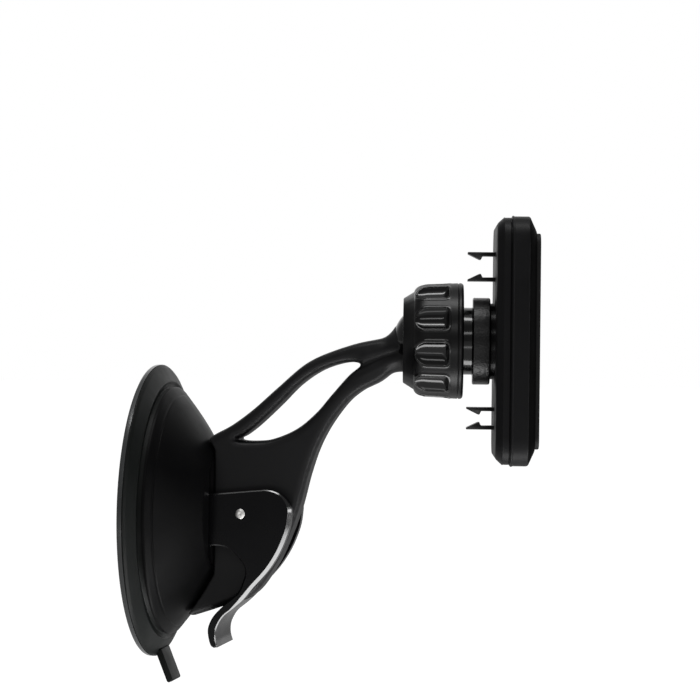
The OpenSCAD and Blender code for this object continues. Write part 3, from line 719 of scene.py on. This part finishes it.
# Distance behind the ball's centre and radius of the neck there
stations = [(6.0, 5.9), (6.6, 5.5), (7.3, 5.0), (8.1, 4.6), (9.0, 4.3), (10.0, NECK_R + 0.05),
            (11.5, 3.95), (13.0, 3.5), (14.3, 2.8), (15.3, 1.8)]
neck = raw(*tube([on_neck(b) for b, _ in stations], [r for _, r in stations]))
foot_verts, foot_faces = prism([(FOOT_BACK, -FOOT_HALF_H), (FOOT_BACK, FOOT_HALF_H),
                                (FOOT_FRONT, FOOT_HALF_H), (FOOT_FRONT, -FOOT_HALF_H)],
                               -FOOT_HALF_W, FOOT_HALF_W)
arm_parts = [raw(plate_verts, plate_faces), neck, raw(foot_verts, foot_faces)]
arm_mesh = remeshed(placed(merged(arm_parts)), ARM_VOXEL, ARM_SMOOTHS)
relaxed(arm_mesh, neck_share, NECK_ROUNDS)
grown = points_of(arm_mesh) / MM + ARM_GROWTH * points_of(arm_mesh, "normal")
# Away from the neck the surface goes back to the exact plate and foot
surface = BVHTree.FromPolygons([tuple(v) for v in plate_verts + foot_verts],
                               plate_faces + [[i + len(plate_verts) for i in f] for f in foot_faces])
settle = np.clip((behind_ball(grown) - SETTLE_FROM) / SETTLE_FADE, 0, 1)
for i in np.flatnonzero(settle):
    spot = surface.find_nearest(Vector(grown[i]))[0]
    grown[i] += settle[i] * (np.array(spot) - grown[i])
move_points(arm_mesh, grown * MM)
relaxed(arm_mesh, lambda p: np.ones(len(p)), LAST_ROUNDS)
# The two strands stay apart as soft ridges, with a groove between them that fades into the window's tip
groove = np.array([(48.6, 33.7), (50.2, 34.5), (52.2, 35.5), (54.6, 36.45), (57.2, 37.3), (59.5, 37.9)])
co = points_of(arm_mesh) / MM
from_groove = distance(co[:, [0, 2]], groove, False)
fade = np.clip((co[:, 0] - GROOVE_FROM_X) / GROOVE_FADE, 0, 1)
push = fade * (GROOVE_D * np.exp(-(from_groove / GROOVE_W) ** 2)
               - RIDGE_H * np.exp(-((from_groove - RIDGE_AT) / RIDGE_W) ** 2))
room = np.clip(np.abs(co[:, 1]) / GROOVE_ROOM, 0, 1)
co[:, 1] -= np.sign(co[:, 1]) * push * room
move_points(arm_mesh, co * MM)
show("arm_moulding", arm_mesh, [SATIN], "base", ["arm"], sharp=60)
ball_line = [(BALL_R * math.cos(math.radians(a)), BALL_R * math.sin(math.radians(a)))
             for a in range(0, 181, 3)]
put("arm_ball", *lathe(ball_line, closed=False), [GLOSS], "base", ["arm"], "arm",
    Matrix.Translation(Vector(BALL)))

# Lever
lever_outer = [(0.181, 0.181), (0.229, 0.177), (0.290, 0.155), (0.342, 0.113), (0.380, 0.048),
               (0.380, -0.010), (0.366, -0.105), (0.332, -0.206), (0.290, -0.297), (0.235, -0.387),
               (0.177, -0.461), (0.100, -0.545), (0.026, -0.635), (-0.048, -0.703), (-0.119, -0.761),
               (-0.158, -0.819), (-0.177, -0.874), (-0.177, -0.939), (-0.160, -0.995)]
lever_inner = [(-0.190, -1.000), (-0.213, -0.985), (-0.229, -0.942), (-0.239, -0.874),
               (-0.226, -0.819), (-0.194, -0.761), (-0.137, -0.700), (-0.058, -0.626),
               (-0.006, -0.571), (0.023, -0.503), (0.042, -0.445), (0.035, -0.390),
               (0.003, -0.342), (-0.048, -0.290), (-0.103, -0.252), (-0.168, -0.239), (-0.239, -0.242)]


def on_lever(shares):
    return [(PIN_X + a * LEVER_L, b * LEVER_L) for a, b in shares]


lever_line = filleted([(PIN_X - CAM_LOCK, LEVER_BACK_SHARE * LEVER_L, 0.5),
                       (PIN_X - CAM_LOCK, CAM_FREE, 0.6)]
                      + spline(on_lever(lever_outer), 4, False) + spline(on_lever(lever_inner), 4, False),
                      closed=True)
# The wide chamfer runs along the back of the lever, short of its shoulder and its tab
outer_edge = spline(on_lever(lever_outer[4:-6]), 6, False)


def chamfered_solid(line, half):
    """The lever's side view as a solid: a wide flat chamfer on its outer edge, a narrow one elsewhere."""
    rim = counter_clockwise(evenly(line, LEVER_CELL, True))
    along_rim = np.roll(rim, -1, 0) - np.roll(rim, 1, 0)
    along_rim /= np.linalg.norm(along_rim, axis=1)[:, None]
    inward = np.stack([-along_rim[:, 1], along_rim[:, 0]], 1)
    away = np.clip((distance(rim, outer_edge, False) - 0.1) / CHAMFER_FADE, 0, 1)
    width = CHAMFER_MIN + CHAMFER_MORE * (1 - away)
    inset = rim + inward * width[:, None]
    kept = np.flatnonzero(distance(inset, rim, True) > width - 0.02)
    n_rim = len(rim)
    verts = [Vector(q) for q in np.concatenate([rim, inset[kept]])]
    edges = [(i, (i + 1) % n_rim) for i in range(n_rim)]
    edges += [(n_rim + k, n_rim + k + 1) for k in range(len(kept) - 1) if kept[k + 1] - kept[k] < 40]
    made, _, tris, origin, _, _ = delaunay_2d_cdt(verts, edges, [list(range(n_rim))], 1, 1e-5)
    q = np.array([(v.x, v.y) for v in made])
    h = np.array([half - (width[min(own)] if own and min(own) < n_rim else 0) for own in origin])
    return doubled(q, h, tris)


def lever_pick(i, poly):
    return 1 if 0.4 < abs(poly.normal.y) < 0.95 and abs(poly.center.y) > CHAMFER_FROM_Y * MM else 0


# The slot between the cheeks runs along the arm's lower edge
heel, toe = np.array(arm_free[-3]), np.array(arm_free[-1])
along = (toe - heel) / np.linalg.norm(toe - heel)
down = np.array([-along[1], along[0]])
first = heel - SLOT_REACH * along + SLOT_GAP * down
second = toe + SLOT_REACH * along + SLOT_GAP * down
slot_line = [tuple(first), tuple(second), tuple(second - SLOT_DEPTH * down), tuple(first - SLOT_DEPTH * down)]
gap_half = LEVER_W / 2 - CHEEK_T
lever_mesh = cut(raw(*chamfered_solid(lever_line, LEVER_W / 2)), raw(*prism(slot_line, -gap_half, gap_half)))
show("lever_moulding", lever_mesh, [LEVER, EDGE], "lever", ["lever"], 26, lever_pick)

# Pin: a rivet with domed heads
pin_line = []
for side in (-1, 1):
    y = side * (LEVER_W / 2 + PIN_PROUD)
    end = [(y - side * 0.5, PIN_R)]
    end += [(y - side * 0.4 * (1 - math.cos(math.radians(t))), PIN_R * math.sin(math.radians(t)))
            for t in range(90, 19, -7)]
    end += [(y - side * 0.06, 0.3), (y - side * 0.1, 0)]
    pin_line += end if side == 1 else end[::-1]
put("pivot_rivet", *lathe(pin_line, n=PIN_SIDES, closed=False, axis="Y"), [RIVET], "plunger",
    ["pivot_pin"], "pivot_pin", Matrix.Translation(Vector((PIN_X, 0, 0))), sharp=50)

# Clamp nut: a lathe whose surface dips into scoops
nut_profile = filleted([(-6.2, 8.6), (-6.2, 9.7, 0.35), (-3.8, 10.9, 0.5)], 4)[:-1]
nut_profile += [(-3.8 + 3.8 * (1 - math.cos(math.radians(a))), 10.9 + 2.1 * math.sin(math.radians(a)))
                for a in range(5, 91, 5)]
nut_profile += [(x, 13.0 + 0.3 * x / 6.8) for x in np.linspace(0.15, 6.2, 46)]
outside_n = len(nut_profile)
nut_profile += [(6.3, 13.2), (6.36, 13.12), (6.42, 13.12), (6.48, 13.2), (6.6, 13.28)]
nut_profile += arc(6.8, 12.55, 0.75, 90, 0, 6)
nut_profile += [(7.55, NUT_BORE_R), (0.6, NUT_BORE_R), (0.6, NUT_INNER_R), (-3.3, NUT_INNER_R), (-4.35, 9.3),
                (-4.7, 8.3), (-5.2, 8.0)]
nut_verts, nut_faces = lathe(nut_profile, n=NUT_SIDES)
in_flute = np.zeros(len(nut_verts))
flute_turn = 360.0 / FLUTE_N
for i in range(outside_n):
    x, r = nut_profile[i]
    if r <= 10.0 or x >= 6.1:
        continue
    for k in range(NUT_SIDES):
        a = 360.0 * k / NUT_SIDES + FLUTE_PHASE
        a = (a + flute_turn / 2) % flute_turn - flute_turn / 2
        across = math.radians(a) * FLUTE_ON_R
        gap = x - min(max(x, FLUTE_BACK), FLUTE_FRONT)
        if gap < 0:
            d = math.hypot(across, gap)
        else:
            d = (across ** FLUTE_POWER + (FLUTE_STRETCH * gap) ** FLUTE_POWER) ** (1 / FLUTE_POWER)
        if d < FLUTE_HALF_W:
            depth = max(0.0, math.sqrt(SCOOP_R ** 2 - d ** 2) - SCOOP_R + SCOOP_D) - FLUTE_RIM_H
        else:
            depth = -FLUTE_RIM_H * math.exp(-((d - FLUTE_HALF_W - FLUTE_RIM_W) / FLUTE_RIM_W) ** 2)
        v = i * NUT_SIDES + k
        in_flute[v] = d < FLUTE_HALF_W + FLUTE_MARGIN
        px, py, pz = nut_verts[v]
        s = (r - depth) / r
        nut_verts[v] = (px, py * s, pz * s)


def nut_pick(i, poly):
    vs = poly.vertices
    return 1 if sum(in_flute[v] for v in vs) > len(vs) / 2 else 0


put("nut_moulding", nut_verts, nut_faces, [NUT, GLOSS], "clamp_nut", ["clamp_nut"], "clamp_nut", ON_HEAD,
    60, nut_pick)

# Socket boss: thread, glossy neck, stippled flange and foot
boss = [(BOSS_BACK, SOCKET_R), (BOSS_BACK, THREAD_R)]
for i in range(THREAD_TURNS):
    x = BOSS_BACK + (i + 0.5) * THREAD_PITCH - 0.4
    boss += [(x - 0.1, THREAD_R), (x + 0.12, THREAD_CREST_R), (x + 0.68, THREAD_CREST_R),
             (x + 0.9, THREAD_R)]
boss += filleted([(7.0, THREAD_R), (7.1, THREAD_R, 0.1), (7.1, BOSS_NECK_R, 0.3),
                  (FLANGE_BACK, BOSS_NECK_R, 0.25), (FLANGE_BACK, FLANGE_R, 0.3),
                  (FLANGE_FRONT, FLANGE_R, 0.4), (FLANGE_FRONT, BOSS_FOOT_R, 0.15),
                  (HEAD_BACK - SKIN_GAP, BOSS_FOOT_R), (HEAD_BACK - SKIN_GAP, 0)])
boss += [(SOCKET_R * math.cos(math.radians(a)), SOCKET_R * math.sin(math.radians(a)))
         for a in range(0, 84, 4)]


def boss_pick(i, poly):
    c = ON_HEAD.inverted() @ (Vector(poly.center) / MM)
    return 1 if math.hypot(c.y, c.z) > 9.6 and FLANGE_BACK + 0.25 < c.x < FLANGE_FRONT - 0.25 else 0


put("boss_moulding", *lathe(boss), [GLOSS, STIPPLE], "head", ["socket_boss"], "boss", ON_HEAD, 35, boss_pick)

# Rear cover: a slope, a step at the seam and the four snap hooks
rear = [(HEAD_BACK, 1.95), (HEAD_BACK + 0.05, 1.75)]
rear += [(HEAD_BACK + 0.25 + 1.3 * k / 4, 1.45 - 1.2 * k / 4) for k in range(5)]
rear += [(HEAD_BACK + 1.9, 0.32), (HEAD_BACK + 2.2, 0.3), (SEAM_X - 0.15, 0.3), (SEAM_X, 0.42)]
hook_line = filleted([(0.3, -0.45), (0.3, 0.45), (-2.9, 0.42), (-3.3, 1.25, 0.15), (-3.7, 1.2, 0.2),
                      (-6.3, -0.05, 0.12), (-6.3, -0.45, 0.1)], 3, True)


def hook(z, facing):
    """A barbed hook behind the head at a height, with its barb up or down."""
    points = [(HEAD_BACK + x, facing * h) for x, h in hook_line]
    mesh = bevelled(raw(*prism(points, -HOOK_HALF_W, HOOK_HALF_W)), HOOK_ROUND, 2)
    for v in mesh.vertices:
        v.co = ON_HEAD @ (Vector(v.co) / MM + Vector((0, 0, z))) * MM
    return placed(mesh)


rear_shell = raw(*slab(rear, HEAD_W, HEAD_H, HEAD_CORNER), ON_HEAD)
n_rear = len(rear_shell.data.polygons)
rear_mesh = merged([rear_shell] + [hook(z, facing) for z, facing in HOOKS])
show("rear_cover_shell", rear_mesh, [SHELL, HOOK], "head", ["rear_cover"], 30,
     lambda i, poly: 0 if i < n_rear else 1)

# Front cover with the recessed ring that shows in the seam, and the face sheet; its front slope is painted
# near black as painted shade
front_side = [(FRONT_X, 0.12), (FRONT_X + 0.08, -0.08), (FRONT_X + 0.2, -0.15), (FRONT_X + 0.4, -0.15),
              (FRONT_X + 0.55, -0.02), (FRONT_X + 0.7, 0.0), (21.7, 0.0), (21.95, 0.08), (22.15, 0.3),
              (23.35, 2.95), (23.52, 3.35), (FRONT_END, 3.75)]
seam_ring = [(SEAM_X - SEAM_REACH, SEAM_D), (FRONT_X + SEAM_REACH, SEAM_D)]
front_verts, front_faces = slab(front_side, HEAD_W, HEAD_H, HEAD_CORNER)
seam_verts, seam_faces = slab(seam_ring, HEAD_W, HEAD_H, HEAD_CORNER)
seam_faces = [[v + len(front_verts) for v in f] for f in seam_faces]


# The faces of the front slope take the painted shade
def front_shade_pick(i, poly):
    return 1 if (ON_HEAD.inverted() @ (Vector(poly.center) / MM)).x > FRONT_SLOPE_X else 0


put("front_cover_shell", front_verts + seam_verts, front_faces + seam_faces, [SHELL, SLOPE_PAINTED_SHADE], "head",
    ["front_cover"], "front_cover", ON_HEAD, 30, front_shade_pick)
face_side = [(FRONT_END, 0.0), (FACE_END - 0.3, 0.0), (FACE_END - 0.12, 0.06), (FACE_END - 0.03, 0.18),
             (FACE_END, 0.36)]
put("face_rubber_sheet", *slab(face_side, HEAD_W - 2 * FACE_MARGIN, HEAD_H - 2 * FACE_MARGIN, FACE_CORNER),
    [FACE], "head", ["front_face"], "front_face", ON_HEAD, 30)

# Nodes that keep the shape of their solids
for node, mat in (("arm_screws", ZINC), ("plunger", GREY), ("return_spring", STEEL), ("ball_liner", GREY),
                  ("clamp_ring", GREY), ("boss_screws", ZINC), ("steel_yoke", STEEL), ("magnets", NICKEL),
                  ("cover_screws", ZINC)):
    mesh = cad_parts[node].data
    if not mesh.materials:
        mesh.materials.append(mat)
    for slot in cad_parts[node].material_slots:
        slot.material = mat


# Floor, light and camera, in metres
def brightest(tree, one, two):
    node = tree.nodes.new("ShaderNodeMath")
    node.operation = "MAXIMUM"
    tree.links.new(one, node.inputs[0])
    tree.links.new(two, node.inputs[1])
    return node.outputs[0]


def ray_level(tree, seen, kind, strength):
    """The strength for rays of one kind, and 0 for the others."""
    node = tree.nodes.new("ShaderNodeMath")
    node.operation = "MULTIPLY"
    node.inputs[1].default_value = strength
    tree.links.new(seen.outputs[kind], node.inputs[0])
    return node.outputs[0]


FLOOR_HALF = 9.0
FLOOR_Z = -0.1
floor_mat = bpy.data.materials.new("pale_floor")
floor_mat.use_nodes = True
floor_tree = floor_mat.node_tree
floor_shader = floor_tree.nodes["Principled BSDF"]
floor_shader.inputs["Base Color"].default_value = (0.3, 0.3, 0.3, 1)
floor_shader.inputs["Roughness"].default_value = 0.9
floor_shader.inputs["Emission Color"].default_value = (1, 1, 1, 1)
floor_seen = floor_tree.nodes.new("ShaderNodeLightPath")
by_camera = ray_level(floor_tree, floor_seen, "Is Camera Ray", 0.9)
by_gloss = ray_level(floor_tree, floor_seen, "Is Glossy Ray", 0.3)
by_glass = ray_level(floor_tree, floor_seen, "Is Transmission Ray", 0.3)
lift = brightest(floor_tree, brightest(floor_tree, by_camera, by_gloss), by_glass)
floor_tree.links.new(lift, floor_shader.inputs["Emission Strength"])
floor_mesh = bpy.data.meshes.new("floor")
floor_mesh.from_pydata([(x * FLOOR_HALF, y * FLOOR_HALF, FLOOR_Z)
                        for x, y in ((-1, -1), (1, -1), (1, 1), (-1, 1))], [], [[0, 1, 2, 3]])
floor_mesh.materials.append(floor_mat)
floor = placed(floor_mesh, "floor")

# The studio is white behind the object, bright above, below and on the far side, and dim on the near side
world = bpy.data.worlds.new("studio")
bpy.context.scene.world = world
world.use_nodes = True
sky = world.node_tree
background = sky.nodes["Background"]
background.inputs["Color"].default_value = (1, 1, 1, 1)
where = sky.nodes.new("ShaderNodeTexCoord")
parts_of = sky.nodes.new("ShaderNodeSeparateXYZ")
sky.links.new(where.outputs["Generated"], parts_of.inputs[0])


def side_light(axis, start, end, low, high, mirrored=False):
    """Brightness that rises smoothly with one part of the direction."""
    source = parts_of.outputs[axis]
    if mirrored:
        node = sky.nodes.new("ShaderNodeMath")
        node.operation = "ABSOLUTE"
        sky.links.new(source, node.inputs[0])
        source = node.outputs[0]
    level = sky.nodes.new("ShaderNodeMapRange")
    level.interpolation_type = "SMOOTHSTEP"
    level.inputs["From Min"].default_value = start
    level.inputs["From Max"].default_value = end
    level.inputs["To Min"].default_value = low
    level.inputs["To Max"].default_value = high
    sky.links.new(source, level.inputs["Value"])
    return level.outputs["Result"]


sky_seen = sky.nodes.new("ShaderNodeLightPath")
glow = brightest(sky, side_light("Y", 0.45, 1.0, 0.20, 1.0), side_light("Z", 0.70, 0.98, 0.0, 0.5, True))
sky.links.new(brightest(sky, sky_seen.outputs["Is Camera Ray"], glow), background.inputs["Strength"])


def softbox(name, at, towards, size, power):
    light = bpy.data.lights.new(name, "AREA")
    light.shape = "RECTANGLE"
    light.size, light.size_y = size
    light.energy = power
    obj = placed(light, name)
    obj.location = at
    obj.rotation_euler = (Vector(towards) - Vector(at)).to_track_quat("-Z", "Y").to_euler()


NEAR_NUT = (0.07, -0.01, 0.037)
softbox("top", (0.10, -0.12, 0.80), NEAR_NUT, (0.7, 0.14), 3.0)
softbox("upper_front", (0.10, -0.62, 0.36), NEAR_NUT, (0.5, 0.08), 0.45)
softbox("lower_front", (0.105, -0.32, -0.085), NEAR_NUT, (0.4, 0.03), 0.1)
softbox("below", (0.19, -0.025, -0.09), (0.19, -0.02, 0.3), (0.36, 0.04), 0.32)
softbox("right_strip", (0.75, -0.165, -0.02), (0.03, 0, -0.01), (0.07, 0.36), 0.8)

TARGET = Vector((0.0460, 0, 0.03788))
AZIMUTH, REACH, ROLL = 10.3, 0.573, 0.6
FOCAL_PX, IMAGE_PX, SENSOR = 2480.0, 700.0, 36.0
az = math.radians(AZIMUTH)
camera = placed(bpy.data.cameras.new("camera"), "camera")
camera.location = TARGET + REACH * Vector((math.sin(az), -math.cos(az), 0))
aim = (TARGET - camera.location).to_track_quat("-Z", "Y").to_matrix().to_4x4()
camera.rotation_euler = (aim @ Matrix.Rotation(math.radians(ROLL), 4, "Z")).to_euler()
camera.data.sensor_width = SENSOR
camera.data.lens = SENSOR * FOCAL_PX / IMAGE_PX
camera.data.clip_start = 0.01
camera.data.clip_end = 50.0
bpy.context.scene.camera = camera
bpy.context.scene.view_settings.view_transform = "Standard"
